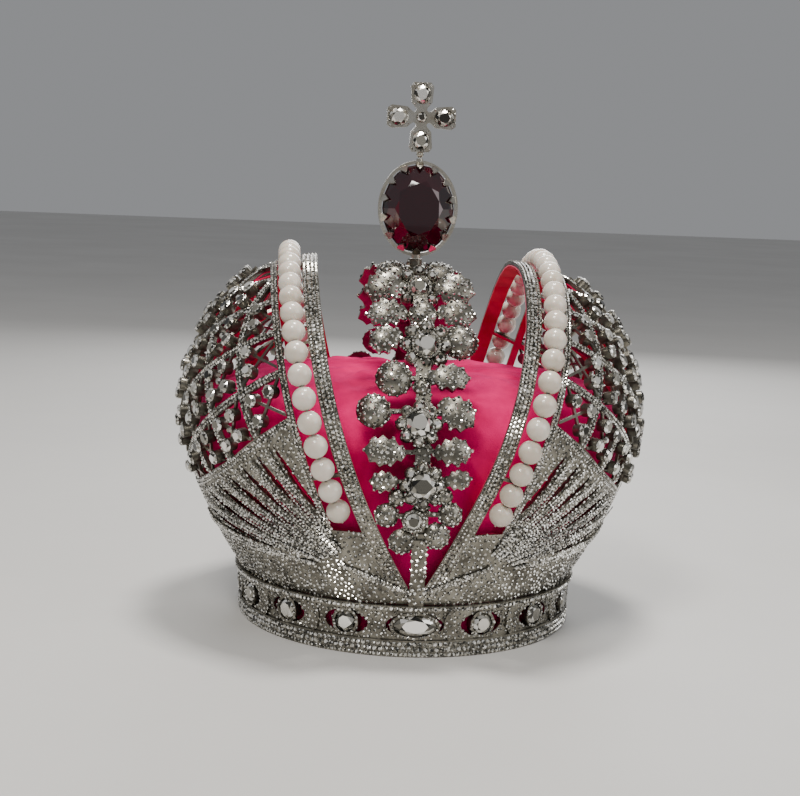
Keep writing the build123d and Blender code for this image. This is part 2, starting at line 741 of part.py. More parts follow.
def bud(side, height, radius, rise, lean):
    """One domed bud on the front of the arch, with its stem."""
    ball = (radius**2 + rise**2) / (2 * rise)
    with BuildPart() as domed:
        with Locations(arch_plane(side, height, 0, rise - ball, lean)):
            Sphere(ball)
        with BuildSketch(arch_plane(side, height, 0, 0, lean)):
            Circle(radius + 1)
        extrude(amount=2 * rise, mode=Mode.INTERSECT)
        add(stem(side, height))
    return domed.part


def garland_setting(side, height, radius, stone_radius, lean):
    """One setting with domed lobes on the front of the arch, with its seat not yet cut."""
    with BuildPart() as setting:
        with Locations(arch_plane(side, height, 0, SETTING_LIFT - SETTING_DOME * radius, lean)):
            with PolarLocations(0.72 * radius, SETTING_LOBES):
                Sphere(0.28 * radius)
        with BuildSketch(arch_plane(side, height, 0, -ARCH_WALL / 2, lean)):
            Circle(1.1 * radius)
        extrude(amount=radius, mode=Mode.INTERSECT)
        with BuildSketch(arch_plane(side, height, 0, -ARCH_WALL / 2, lean)):
            Circle(0.76 * radius)
        extrude(amount=SETTING_LIFT)
        with BuildSketch(arch_plane(side, height, 0, 0, lean)):
            Circle(stone_radius + 1.4)
        extrude(amount=SETTING_DEPTH)
    return setting.part


def arch_garland():
    """The middle arch with everything soldered to it."""
    with BuildPart() as front:
        add(front_strap())
        add([oak_leaf(*row) for row in OAK_LEAVES])
        add([bud(*row) for row in BUDS])
        add([garland_setting(*row) for row in GARLAND_SETTINGS])
        for side, height, _, stone_radius, lean in GARLAND_SETTINGS:
            top = arch_plane(side, height, 0, SETTING_DEPTH, lean)
            with BuildSketch(top):
                Circle(stone_radius + 0.3)
            extrude(amount=8, mode=Mode.SUBTRACT)
            with BuildSketch(top):
                Circle(stone_radius + 0.2)
            extrude(amount=-0.6 * stone_radius, taper=SEAT_SLOPE, mode=Mode.SUBTRACT)
    with BuildPart() as arch:
        add(front.part)
        mirror(front.part, about=Plane.XZ)
        for foot, radius, height in TOP_COLLET:
            with Locations((0, 0, foot + height / 2)):
                Cylinder(radius, height)
    return arch.part


def claw_plane(angle, side, lean):
    """Plane of one claw: x along it from the ring over the stone, z away from the stone."""
    reach = [half + SEAT_GAP + CLAW_RING / 2 for half in (STONE_WIDTH / 2, STONE_HEIGHT / 2)]
    spot = Vector(reach[0] * cos(angle), -side * CLAW_START, STONE_MIDDLE + reach[1] * sin(angle))
    inward = Vector(-cos(angle), 0, -sin(angle))
    outward = Vector(0, -side, 0)
    along = inward * cos(radians(lean)) + outward * sin(radians(lean))
    return Plane(origin=spot, x_dir=along, z_dir=along.cross(inward.cross(outward)))


def red_stone_setting():
    """The ring round the red stone with its leaf-shaped claws, front and back."""
    half_width = STONE_WIDTH / 2 + SEAT_GAP
    half_height = STONE_HEIGHT / 2 + SEAT_GAP
    with BuildPart() as ring:
        with BuildSketch(FRONT.offset(0)):
            with Locations((0, STONE_MIDDLE)):
                Ellipse(half_width + CLAW_RING, half_height + CLAW_RING)
                Ellipse(half_width, half_height, mode=Mode.SUBTRACT)
        extrude(amount=CLAW_RING_DEPTH / 2, both=True)
        for side, lean in ((1, 52), (-1, 47)):
            for k in range(CLAWS):
                with BuildSketch(claw_plane(2 * pi * (k + 0.5) / CLAWS, side, lean)):
                    Polygon(*CLAW_OUTLINE, align=None)
        extrude(amount=CLAW_THICKNESS / 2, both=True)
        with Locations((0, 0, STONE_MIDDLE - half_height - CLAW_RING)):
            Cylinder(2.4, 2.0)
        with Locations((0, 0, STONE_MIDDLE + half_height + CLAW_RING)):
            Cylinder(1.7, 1.8)
    return ring.part


def cross_arm(turn, distance, across):
    """Place in the cross's front plane, from a distance out along an arm and a width across."""
    return (distance * cos(turn) - across * sin(turn),
            CROSS_MIDDLE + distance * sin(turn) + across * cos(turn))


def cross():
    """The cross, with a stone seat and four prongs on each arm and a seat in the middle."""
    front = FRONT.offset(CROSS_DEPTH / 2)
    turns = [k * pi / 2 for k in range(4)]
    seats = [(cross_arm(turn, ARM_STONE_PLACE, 0), ARM_STONE, degrees(turn)) for turn in turns]
    seats.append(((0, CROSS_MIDDLE), (MIDDLE_STONE, MIDDLE_STONE), 0))
    with BuildPart() as body:
        with BuildSketch(front):
            for turn in turns:
                sides = ARM_OUTLINE + [(far, -half) for far, half in reversed(ARM_OUTLINE)]
                Polygon(*[cross_arm(turn, far, half) for far, half in sides], align=None)
            with Locations((0, CROSS_MIDDLE)):
                Circle(MIDDLE_BOSS)
        extrude(amount=-CROSS_DEPTH)
        with BuildSketch(front):
            for place, (half_long, half_across), turn in seats:
                with Locations(place):
                    Ellipse(half_long + 0.2, half_across + 0.2, rotation=turn)
        extrude(amount=-ARM_LEDGE, mode=Mode.SUBTRACT)
        with BuildSketch(front):
            for place, (half_long, half_across), turn in seats:
                with Locations(place):
                    Ellipse(half_long - 1.0, half_across - 1.0, rotation=turn)
        extrude(amount=-CROSS_DEPTH, mode=Mode.SUBTRACT)
        with BuildSketch(front.offset(-ARM_LEDGE)):
            for turn in turns:
                for out, wide in ((3.9, 3.5), (3.9, -3.5), (-3.9, 3.5), (-3.9, -3.5)):
                    with Locations(cross_arm(turn, ARM_STONE_PLACE + out, wide)):
                        Circle(PRONG_RADIUS)
        extrude(amount=ARM_LEDGE + PRONG_LENGTH)
        with Locations((0, 0, CROSS_KNOB_HEIGHT)):
            Sphere(CROSS_KNOB)
    return body.part


def velvet_cap():
    """The cloth cap, closed on top and open below."""
    inside = moved_out(CAP_ROWS, -CAP_WALL)
    inside[0] = (0.0,) + inside[0][1:]
    with BuildPart() as cap:
        add(oval_stack(CAP_ROWS))
        add(oval_stack(inside), mode=Mode.SUBTRACT)
    return cap.part


def moved_in(rows, wall):
    """The same oval sections made smaller by a wall, with the lowest one set below the foot."""
    inside = [(height, half_width - wall, half_depth - wall) for height, half_width, half_depth in rows]
    inside[0] = (rows[0][0] - 1.0,) + inside[0][1:]
    return inside


def save(part, name):
    """Name one piece and write it."""
    part.label = name
    export_step(part, f"parts/{name}.step")


def save_pair(solids, name):
    """Write a piece of the right side and its mirror image of the left side."""
    save(Compound(solids), f"right_{name}")
    save(Compound([solid.mirror(Plane.YZ) for solid in solids]), f"left_{name}")


# Faces -Y, with x to the wearer's side and y up, so that places read as side and height.
FRONT = Plane(origin=(0, 0, 0), x_dir=(1, 0, 0), z_dir=(0, -1, 0))
CUTTERS = cell_cutters() + slot_cutters() + leaf_gap_cutters()
PANEL = panel_region(SEAT_GAP)

save(circlet(), "circlet")
front_stone_plane = circlet_plane(0, 0.15)
save(cut_stone(front_stone_plane, FRONT_STONE_HALF, BAND_STONE_RADIUS, 16, 2.1, 3.15, 0.62, 0.25),
     "circlet_stone_01")
for number in range(1, WINDOWS):
    stone = cut_stone(circlet_plane(number, 0.15), BAND_STONE_RADIUS, BAND_STONE_RADIUS, STONE_SIDES,
                      2.1, 3.15, 0.62, 0.25)
    save(stone, f"circlet_stone_{number + 1:02d}")

with BuildPart() as dome:
    add(open_work(oval_shell(DOME_ROWS, 0, -DOME_WALL)))
    add(palm_relief())
save_pair(dome.part.solids(), "dome")
lining = open_work(oval_shell(DOME_ROWS, -DOME_WALL - SEAT_GAP, -DOME_WALL - SEAT_GAP - LINING))
save_pair(lining.solids(), "lining")
save_pair(rosettes(), "rosettes")
save_pair(pearls(), "pearls")
save_pair(pearl_thread().solids(), "pearl_thread")

save(arch_garland(), "arch_garland")
for number, (side, height, _, radius, lean) in enumerate(GARLAND_SETTINGS, start=1):
    stone = round_stone(arch_plane(side, height, 0, SETTING_DEPTH + SEAT_GAP, lean), radius)
    save(stone, f"garland_stone_front_{number}")
    save(stone.mirror(Plane.XZ), f"garland_stone_back_{number}")

save(velvet_cap(), "velvet_cap")
red_stone_plane = FRONT.shift_origin((0, 0, STONE_MIDDLE))
save(cut_stone(red_stone_plane, STONE_WIDTH / 2, STONE_HEIGHT / 2, RED_STONE_SIDES, STONE_FRONT,
               STONE_BACK, STONE_TABLE_SHARE, STONE_CULET_SHARE), "red_stone")
save(red_stone_setting(), "red_stone_setting")
save(cross(), "cross")
for number, name in enumerate(("right", "top", "left", "bottom")):
    side, height = cross_arm(number * pi / 2, ARM_STONE_PLACE, 0)
    half_width, half_height = ARM_STONE if number % 2 == 0 else ARM_STONE[::-1]
    plane = FRONT.shift_origin((side, 0, height)).offset(CROSS_DEPTH / 2 + 0.1)
    save(cut_stone(plane, half_width, half_height, STONE_SIDES, 2.0, 2.4, 0.6, 0.3), f"cross_stone_{name}")
plane = FRONT.shift_origin((0, 0, CROSS_MIDDLE)).offset(CROSS_DEPTH / 2 + 0.1)
save(cut_stone(plane, MIDDLE_STONE, MIDDLE_STONE, STONE_SIDES, 1.1, 2.0, 0.6, 0.3), "cross_stone_middle")
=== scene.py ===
"""Looks of the arched crown: stones, pearls, velvet, metal and the studio round them."""
import math

import bmesh
import bpy
import numpy as np
from mathutils import Matrix, Vector, noise


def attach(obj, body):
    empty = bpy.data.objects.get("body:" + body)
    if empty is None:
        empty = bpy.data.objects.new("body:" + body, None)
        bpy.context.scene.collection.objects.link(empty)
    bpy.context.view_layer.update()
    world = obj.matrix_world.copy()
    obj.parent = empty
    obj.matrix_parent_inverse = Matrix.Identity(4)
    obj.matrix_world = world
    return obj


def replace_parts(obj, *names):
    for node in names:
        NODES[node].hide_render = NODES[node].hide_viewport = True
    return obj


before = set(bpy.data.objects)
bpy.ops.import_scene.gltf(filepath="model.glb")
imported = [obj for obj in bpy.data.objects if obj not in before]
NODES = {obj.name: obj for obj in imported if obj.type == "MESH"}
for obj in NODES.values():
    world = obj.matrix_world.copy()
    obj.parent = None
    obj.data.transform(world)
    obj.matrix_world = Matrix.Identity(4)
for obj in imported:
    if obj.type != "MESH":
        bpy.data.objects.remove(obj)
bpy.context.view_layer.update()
MM = 0.001

# Rows of the half domes and the cap: height, half width, half depth, in mm as in the part's source.
DOME_ROWS = np.array([
    (16.0, 81.0, 88.5), (25.3, 86.6, 89.5), (39.0, 95.5, 91.0), (52.0, 102.5, 92.3),
    (66.0, 109.3, 95.0), (82.0, 115.0, 101.5), (100.0, 117.8, 107.0), (115.0, 117.4, 108.8),
    (131.0, 114.4, 107.0), (147.0, 108.4, 100.4), (160.0, 100.3, 90.3), (170.0, 91.0, 78.0),
    (177.0, 81.0, 65.5), (182.3, 69.5, 51.0), (184.8, 58.0, 40.0), (185.8, 46.0, 30.0),
])
CAP_ROWS = np.array([
    (1.0, 80.5, 86.5), (14.0, 81.5, 87.3), (27.0, 83.5, 84.5), (45.0, 95.0, 87.0),
    (66.0, 104.0, 90.0), (85.0, 110.0, 93.5), (100.0, 111.5, 93.0), (112.0, 109.0, 87.0),
    (121.0, 101.0, 77.0), (127.5, 86.0, 62.0), (131.5, 64.0, 44.0), (133.0, 36.0, 24.0),
])
DOME_FOOT = 25.3
ROW_CENTRE_X, ROW_CENTRE_Z, ROW_RADIUS = -286.8, 207.3, 352.7
SLOT_HALF_WIDTH, RAIL_WIDTH = 6.3, 3.5
EDGE_LOW, EDGE_HIGH, EDGE_REACH, RIBBON = 67.0, 114.0, 93.0, 4.2
RUNG_SLOPE, RUNG_STEP, RUNG_START = 0.66, 30.5, 15.5
HOOP_LEAN, HOOP_STEP, HOOP_START = 0.62, 29.5, 27.8
FAN_ALONG, FAN_UP, LEAF_RISE = 27.0, 16.0, 1.3
# Palm leaves: slope in degrees, near end, far end, width.
PALM_LEAVES = [
    (51.5, 12.0, 78.0, 6.2), (43.0, 12.0, 79.0, 6.4), (35.0, 12.0, 82.0, 6.4), (27.2, 14.0, 88.0, 6.4),
    (20.0, 16.0, 97.0, 6.4), (13.0, 18.0, 106.0, 6.2), (5.5, 20.0, 112.0, 5.6), (21.8, -26.5, 10.0, 2.6),
]
ARCH_RADIUS, ARCH_SPRING, ARCH_SIDE_RADIUS = 101.0, 76.5, 170.0
# Stone settings on the front of the arch: side, height, outer radius, stone radius, lean.
GARLAND_SETTINGS = [
    (-2.0, 113.0, 11.4, 6.0, 0.0), (0.3, 85.3, 11.3, 6.0, 0.0), (-3.5, 69.0, 5.8, 3.9, 0.0),
    (1.5, 147.5, 13.0, 5.6, 20.0), (0.0, 172.0, 12.0, 4.6, 46.0),
]
SETTING_LIFT, SETTING_DEPTH, LOBES = 2.4, 3.2, 8
CROSS_MIDDLE = 257.4
WIDTH_AXIS, DEPTH_AXIS = Vector((1, 0, 0)), Vector((0, 1, 0))


# ---------------------------------------------------------------- places on the crown
def smooth_table(rows, steps=12):
    """Dense rows on a smooth curve through a table's rows."""
    dense = []
    for k in range(len(rows) - 1):
        a, b, c, d = (rows[min(max(j, 0), len(rows) - 1)] for j in range(k - 1, k + 3))
        for f in np.arange(steps) / steps:
            dense.append(0.5 * (2 * b + (c - a) * f + (2 * a - 5 * b + 4 * c - d) * f**2
                                + (3 * b - a - 3 * c + d) * f**3))
    dense.append(rows[-1])
    return np.array(dense)


SKIN = smooth_table(DOME_ROWS)
SKIN_STEPS = np.diff(SKIN, axis=0)
SKIN_UP = np.cumsum(np.hypot(SKIN_STEPS[:, 0], (SKIN_STEPS[:, 1] + SKIN_STEPS[:, 2]) / 2))
SKIN_UP = np.concatenate([[0], SKIN_UP])
SKIN_UP -= SKIN_UP[int(np.argmin(np.abs(SKIN[:, 0] - DOME_FOOT)))]


def row_at(z):
    """Half width and half depth of the half domes' skin at heights."""
    return np.interp(z, SKIN[:, 0], SKIN[:, 1]), np.interp(z, SKIN[:, 0], SKIN[:, 2])


def unit(vectors):
    """Vectors made one long."""
    return vectors / np.maximum(np.linalg.norm(vectors, axis=-1, keepdims=True), 1e-9)


def skin_normals(points):
    """Outward normals of the half domes' skin at points near it."""
    x, y, z = points.T
    a, b = row_at(z)
    a_high, b_high = row_at(z + 1)
    a_low, b_low = row_at(z - 1)
    slope = -(x**2 / a**3) * (a_high - a_low) - (y**2 / b**3) * (b_high - b_low)
    return unit(np.stack([2 * x / a**2, 2 * y / b**2, slope], axis=1))


def skin_points(along, up, start=0.0):
    """Points of the skin at lengths along its oval from an angle, and lengths up its side."""
    z = np.interp(up, SKIN_UP, SKIN[:, 0])
    a, b = row_at(z)
    angle = start + 2 * along / (a + b)
    return np.stack([a * np.cos(angle), b * np.sin(angle), z], axis=1)


def row_distance(points):
    """Distance out from the pearl row's arc, seen from the front."""
    return np.hypot(points[:, 0] - ROW_CENTRE_X, points[:, 2] - ROW_CENTRE_Z) - ROW_RADIUS


def edge_height(points):
    """Height of the lattice's lower edge at points, from their depth."""
    sag = EDGE_HIGH - EDGE_LOW
    radius = (EDGE_REACH**2 + sag**2) / (2 * sag)
    return EDGE_LOW + radius - np.sqrt(np.maximum(radius**2 - points[:, 1] ** 2, 0))


def in_panel(points):
    """Whether points are inside the lattice of the back right quarter."""
    rail = row_distance(points) - SLOT_HALF_WIDTH - RAIL_WIDTH
    return (rail > 0) & (points[:, 2] > edge_height(points) + RIBBON / 2) & (points[:, 1] > 0.6)


def walk(points, pitch, offset=0.0):
    """Points one pitch apart along a fine line, and its directions there."""
    length = np.concatenate([[0], np.cumsum(np.linalg.norm(np.diff(points, axis=0), axis=1))])
    at = np.arange(offset, length[-1], pitch)
    found, ahead, behind = (np.stack([np.interp(at + step, length, points[:, k]) for k in range(3)], axis=1)
                            for step in (0, 0.2, -0.2))
    return found, unit(ahead - behind)


def arc_line(distance, low):
    """Back half of a line that keeps its distance from the pearl row."""
    z = np.linspace(low, 186.4, 900)
    x = ROW_CENTRE_X + np.sqrt((ROW_RADIUS + distance) ** 2 - (z - ROW_CENTRE_Z) ** 2)
    a, b = row_at(z)
    inside = 1 - (x / a) ** 2
    last = int(np.argmax(inside <= 0)) or len(z)
    return np.stack([x, b * np.sqrt(np.maximum(inside, 0)), z], axis=1)[:last]


def beside(line, shift):
    """A line moved sideways over the skin."""
    return line + np.cross(skin_normals(line), unit(np.gradient(line, axis=0))) * shift


def node_triangles(node, longest=None):
    """Corners of each triangle of a CAD node in mm, cut in halves until none is long."""
    mesh = NODES[node].data
    mesh.calc_loop_triangles()
    spots = np.zeros(len(mesh.vertices) * 3)
    mesh.vertices.foreach_get("co", spots)
    index = np.zeros(len(mesh.loop_triangles) * 3, dtype=np.int32)
    mesh.loop_triangles.foreach_get("vertices", index)
    triangles = spots.reshape(-1, 3)[index.reshape(-1, 3)] / MM
    for _ in range(9 if longest else 0):
        sides = np.stack([np.linalg.norm(triangles[:, k] - triangles[:, (k + 1) % 3], axis=1)
                          for k in range(3)], 1)
        worst = sides.argmax(axis=1)
        long_ones = sides.max(axis=1) > longest
        rows = np.arange(len(triangles))
        a, b, c = (triangles[rows, (worst + k) % 3] for k in range(3))
        halves = [np.stack([a, (a + b) / 2, c], 1), np.stack([(a + b) / 2, b, c], 1)]
        triangles = np.concatenate([triangles[~long_ones]] + [half[long_ones] for half in halves])
    return triangles


def faces_of(triangles):
    """Middles, normals and areas of triangles."""
    crosses = np.cross(triangles[:, 1] - triangles[:, 0], triangles[:, 2] - triangles[:, 0])
    return triangles.mean(axis=1), unit(crosses), np.linalg.norm(crosses, axis=1) / 2


def scatter(triangles, spacing, seed, keep, tries=8):
    """Points at least a spacing apart on the triangles that keep chooses, with their normals."""
    middles, normals, areas = faces_of(triangles)
    good = keep(middles, normals) & (areas > 1e-6)
    triangles, normals, areas = triangles[good], normals[good], areas[good]
    random = np.random.default_rng(seed)
    count = int(areas.sum() / spacing**2 * tries)
    pick = random.choice(len(areas), count, p=areas / areas.sum())
    u, v = random.random((2, count))
    over = u + v > 1
    u[over], v[over] = 1 - u[over], 1 - v[over]
    corner, right, left = (triangles[pick][:, k] for k in range(3))
    points = corner + (right - corner) * u[:, None] + (left - corner) * v[:, None]
    cells = {}
    kept = []
    near = [(i, j, k) for i in (-1, 0, 1) for j in (-1, 0, 1) for k in (-1, 0, 1)]
    for number, (x, y, z) in enumerate(points.tolist()):
        i, j, k = int(x // spacing), int(y // spacing), int(z // spacing)
        others = (spot for a, b, c in near for spot in cells.get((i + a, j + b, k + c), ()))
        if all((p - x) ** 2 + (q - y) ** 2 + (r - z) ** 2 >= spacing * spacing for p, q, r in others):
            cells.setdefault((i, j, k), []).append((x, y, z))
            kept.append(number)
    return points[kept], normals[pick][kept]


# ---------------------------------------------------------------- cut stones
def as_mesh(shape, name):
    """A bmesh as a mesh."""
    mesh = bpy.data.meshes.new(name)
    shape.to_mesh(mesh)
    shape.free()
    return mesh


def finished(shape, name):
    """A bmesh with its normals outward, as a mesh."""
    bmesh.ops.recalc_face_normals(shape, faces=shape.faces)
    return as_mesh(shape, name)


def small_cut(name, sides, crown, table):
    """A plain cut stone of girdle radius 1: crown facets round a table, open below."""
    shape = bmesh.new()
    bmesh.ops.create_cone(shape, cap_ends=True, segments=sides, radius1=1, radius2=table, depth=crown)
    bmesh.ops.translate(shape, verts=shape.verts, vec=(0, 0, crown / 2))
    bmesh.ops.recalc_face_normals(shape, faces=shape.faces)
    below = [face for face in shape.faces if face.calc_center_median().z < crown / 20]
    bmesh.ops.delete(shape, geom=below, context="FACES_ONLY")
    return as_mesh(shape, name)


def ground(shape, tilt, turn, at):
    """Grinds one facet: cuts by a plane and closes the cut. A tilt of 0 lies level."""
    normal = Vector((math.sin(tilt) * math.cos(turn), math.sin(tilt) * math.sin(turn), math.cos(tilt)))
    cut = bmesh.ops.bisect_plane(shape, geom=shape.verts[:] + shape.edges[:] + shape.faces[:], dist=1e-5,
                                 plane_co=at, plane_no=normal, clear_outer=True)
    rim = [part for part in cut["geom_cut"] if isinstance(part, bmesh.types.BMEdge) and part.is_boundary]
    if len(rim) > 2:
        bmesh.ops.edgeloop_fill(shape, edges=rim)


def ground_stone(name, crown, pavilion, table=0.54, mains=8):
    """A brilliant of girdle radius 1 with table, star, kite and girdle facets, and a pavilion."""
    shape = bmesh.new()
    edge = 0.04
    half = math.pi / mains
    reach = math.cos(half / 2)
    bmesh.ops.create_cone(shape, cap_ends=True, segments=2 * mains, radius1=1 / reach, radius2=1 / reach,
                          depth=2 * (crown + pavilion))
    kite = math.atan(crown / (1 - table / math.cos(half)))
    below = math.atan(pavilion / 0.92)
    ground(shape, 0, 0, (0, 0, crown))
    ground(shape, math.pi, 0, (0, 0, -pavilion * 0.96))
    for k in range(mains):
        turn = 2 * half * k
        out = Vector((math.cos(turn), math.sin(turn), 0))
        ground(shape, kite, turn, out)
        ground(shape, math.pi - below, turn, out + Vector((0, 0, -edge)))
        star = turn + half
        ground(shape, kite * 0.55, star, (table * math.cos(star), table * math.sin(star), crown))
        for side in (turn - half / 2, turn + half / 2):
            out = Vector((reach * math.cos(side), reach * math.sin(side), 0))
            ground(shape, min(kite * 1.16, 1.4), side, out)
            ground(shape, math.pi - min(below * 1.1, 1.4), side, out + Vector((0, 0, -edge)))
    bmesh.ops.remove_doubles(shape, verts=shape.verts, dist=1e-4)
    return finished(shape, name)


TINY = small_cut("tiny_cut", 6, 0.46, 0.50)
SMALL = small_cut("small_cut", 8, 0.44, 0.54)
BRILLIANT = ground_stone("brilliant_cut", 0.36, 0.45)


def paint_facet_glints(mesh, seed, low=0.8, high=0.8):
    """Gives each facet a random painted glint value, from 0, a painted dark reflection, to 1, a painted
    bright glint.
    """
    glint_values = np.random.default_rng(seed).beta(low, high, len(mesh.polygons)).astype(np.float32)
    mesh.attributes.new("facet_glint", "FLOAT", "FACE").data.foreach_set("value", glint_values)


def dressed(name, mesh, made):
    """A mesh as a piece that rides on the crown."""
    mesh.materials.append(made)
    piece = bpy.data.objects.new(name, mesh)
    bpy.context.scene.collection.objects.link(piece)
    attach(piece, "root")
    return piece


def mirrored(mesh, axis):
    """A mirror image of a mesh with its faces outward."""
    other = mesh.copy()
    other.transform(Matrix.Scale(-1, 4, axis))
    other.flip_normals()
    return other


class Setter:
    """Sets small stones, each a moved copy of a cut, and joins them."""

    def __init__(self):
        self.places = []

    def place(self, points, normals, radii, cut=TINY, along=None, lift=0.0):
        """Sets a stone at each point, in mm, its table along the normal."""
        points = np.asarray(points, float).reshape(-1, 3)
        normals = np.broadcast_to(np.asarray(normals, float).reshape(-1, 3), points.shape)
        radii = np.broadcast_to(np.asarray(radii, float), (len(points),))
        along = np.cross(normals, (0.31, 0.17, 0.93)) if along is None else along
        along = unit(along - normals * (along * normals).sum(1)[:, None])
        across = np.cross(normals, along)
        for spot, x, y, z, radius in zip(points + normals * lift, along, across, normals, radii):
            self.places.append((cut, np.column_stack([x * radius, y * radius, z * radius, spot]) * MM))

    def joined(self, name, flip=None):
        """One mesh of all the stones, with their mirror images across an axis if one is given."""
        shape = bmesh.new()
        for cut, rows in self.places:
            stone = cut.copy()
            stone.transform(Matrix(rows.tolist() + [[0, 0, 0, 1]]))
            shape.from_mesh(stone)
            bpy.data.meshes.remove(stone)
        mesh = bpy.data.meshes.new(name)
        shape.to_mesh(mesh)
        if flip:
            shape.from_mesh(mirrored(mesh, flip))
            shape.to_mesh(mesh)
        shape.free()
        return mesh


# ---------------------------------------------------------------- materials
def worn_group():
    """Patches of two colours and a fine grain, for every finish that has both."""
    group = bpy.data.node_groups.new("worn_surface", "ShaderNodeTree")
    for name, kind in (("Patch scale", "NodeSocketFloat"), ("Grain scale", "NodeSocketFloat"),
                       ("Dark", "NodeSocketColor"), ("Light", "NodeSocketColor")):
        group.interface.new_socket(name, in_out="INPUT", socket_type=kind)
    for name, kind in (("Colour", "NodeSocketColor"), ("Patches", "NodeSocketFloat"),
                       ("Grain", "NodeSocketFloat")):
        group.interface.new_socket(name, in_out="OUTPUT", socket_type=kind)
    given = group.nodes.new("NodeGroupInput")
    out = group.nodes.new("NodeGroupOutput")
    coords = group.nodes.new("ShaderNodeTexCoord")
    spread = group.nodes.new("ShaderNodeMapRange")
    spread.inputs["From Min"].default_value = 0.34
    spread.inputs["From Max"].default_value = 0.66
    mix = group.nodes.new("ShaderNodeMix")
    mix.data_type = "RGBA"
    colours = {socket.name: socket for socket in mix.inputs if socket.type == "RGBA"}
    for scale, target in (("Patch scale", spread.inputs["Value"]), ("Grain scale", out.inputs["Grain"])):
        texture = group.nodes.new("ShaderNodeTexNoise")
        texture.inputs["Detail"].default_value = 5.0
        texture.inputs["Roughness"].default_value = 0.6
        group.links.new(coords.outputs["Object"], texture.inputs["Vector"])
        group.links.new(given.outputs[scale], texture.inputs["Scale"])
        group.links.new(texture.outputs[0], target)
    group.links.new(spread.outputs[0], mix.inputs[0])
    group.links.new(given.outputs["Dark"], colours["A"])
    group.links.new(given.outputs["Light"], colours["B"])
    group.links.new(next(socket for socket in mix.outputs if socket.type == "RGBA"), out.inputs["Colour"])
    group.links.new(spread.outputs[0], out.inputs["Patches"])
    return group


WORN = worn_group()


def new_material(name, settings):
    """A material of one shader with its plain settings."""
    made = bpy.data.materials.new(name)
    made.use_nodes = True
    shader = made.node_tree.nodes["Principled BSDF"]
    for socket, value in settings.items():
        shader.inputs[socket].default_value = value
    return made, made.node_tree, shader


def worn_material(name, dark, light, patch_scale, grain_scale, grain_depth, rough, settings):
    """A finish with patches of two colours, grain, and a roughness that follows the patches."""
    made, tree, shader = new_material(name, settings)
    worn = tree.nodes.new("ShaderNodeGroup")
    worn.node_tree = WORN
    worn.inputs["Patch scale"].default_value = patch_scale
    worn.inputs["Grain scale"].default_value = grain_scale
    worn.inputs["Dark"].default_value = (*dark, 1)
    worn.inputs["Light"].default_value = (*light, 1)
    spread = tree.nodes.new("ShaderNodeMapRange")
    spread.inputs["To Min"].default_value, spread.inputs["To Max"].default_value = rough
    bump = tree.nodes.new("ShaderNodeBump")
    bump.inputs["Distance"].default_value = grain_depth
    bump.inputs["Strength"].default_value = 0.7
    tree.links.new(worn.outputs["Colour"], shader.inputs["Base Color"])
    tree.links.new(worn.outputs["Patches"], spread.inputs["Value"])
    tree.links.new(spread.outputs[0], shader.inputs["Roughness"])
    tree.links.new(worn.outputs["Grain"], bump.inputs["Height"])
    tree.links.new(bump.outputs[0], shader.inputs["Normal"])
    return made


def stone_material(name, stops, settings):
    """Cut stones: each facet's base colour is its painted glint value on a colour ramp, a painted reflection
    of dark and bright surroundings in place of the light a cut stone sends back.
    """
    made, tree, shader = new_material(name, settings)
    facet_glint = tree.nodes.new("ShaderNodeAttribute")
    facet_glint.attribute_name = "facet_glint"
    node = tree.nodes.new("ShaderNodeValToRGB")
    for place, _ in stops[1:-1]:
        node.color_ramp.elements.new(place)
    for element, (place, colour) in zip(node.color_ramp.elements, stops):
        element.position = place
        element.color = (*colour, 1)
    tree.links.new(facet_glint.outputs["Fac"], node.inputs[0])
    tree.links.new(node.outputs[0], shader.inputs["Base Color"])
    return made


# Diamond facets painted from near black to white: painted glints and painted dark reflections, which a soft
# studio alone would not give.
DIAMOND = stone_material("diamond", [
    (0.0, (0.012, 0.012, 0.010)), (0.22, (0.08, 0.075, 0.06)), (0.5, (0.42, 0.40, 0.34)),
    (0.78, (0.86, 0.84, 0.78)), (1.0, (1.0, 0.99, 0.96)),
], {"Metallic": 0.72, "Roughness": 0.07, "Coat Weight": 0.7, "Coat Roughness": 0.02})
# Red stone: its own colour is a near black maroon. The brighter red facets are painted flashes of light
# through the stone.
RED = stone_material("red_stone", [
    (0.0, (0.006, 0.0, 0.001)), (0.5, (0.018, 0.0005, 0.003)), (0.8, (0.055, 0.001, 0.009)),
    (1.0, (0.20, 0.002, 0.018)),
], {"Metallic": 0.0, "Roughness": 0.03, "Coat Weight": 1.0, "Coat Roughness": 0.02})
SILVER = worn_material("silver", (0.34, 0.31, 0.25), (0.72, 0.69, 0.62), 90, 900, 0.00012, (0.36, 0.22),
                       {"Metallic": 1.0})
# Darker silver for the domes, rosettes, circlet and arch garland: partly the crown's blackened silver, and
# partly painted shade for the dark mass these parts make in dim light.
BLACKENED_AND_SHADED_SILVER = worn_material("dark_silver", (0.10, 0.092, 0.075), (0.30, 0.285, 0.24), 110, 900, 0.00012,
                            (0.42, 0.28), {"Metallic": 1.0})
PEARL = worn_material("pearl", (0.60, 0.52, 0.42), (0.80, 0.73, 0.64), 55, 700, 0.00004, (0.30, 0.20), {
    "Subsurface Weight": 0.12, "Subsurface Scale": 0.004, "Coat Weight": 0.7, "Coat Roughness": 0.08,
    "Sheen Weight": 0.15, "Sheen Tint": (1.0, 0.80, 0.82, 1.0)})
VELVET = worn_material("velvet", (0.42, 0.0, 0.065), (0.88, 0.0, 0.17), 24, 1500, 0.0003, (0.98, 0.9), {
    "Specular IOR Level": 0.1, "Sheen Weight": 0.9, "Sheen Roughness": 0.35,
    "Sheen Tint": (1.0, 0.15, 0.45, 1.0)})
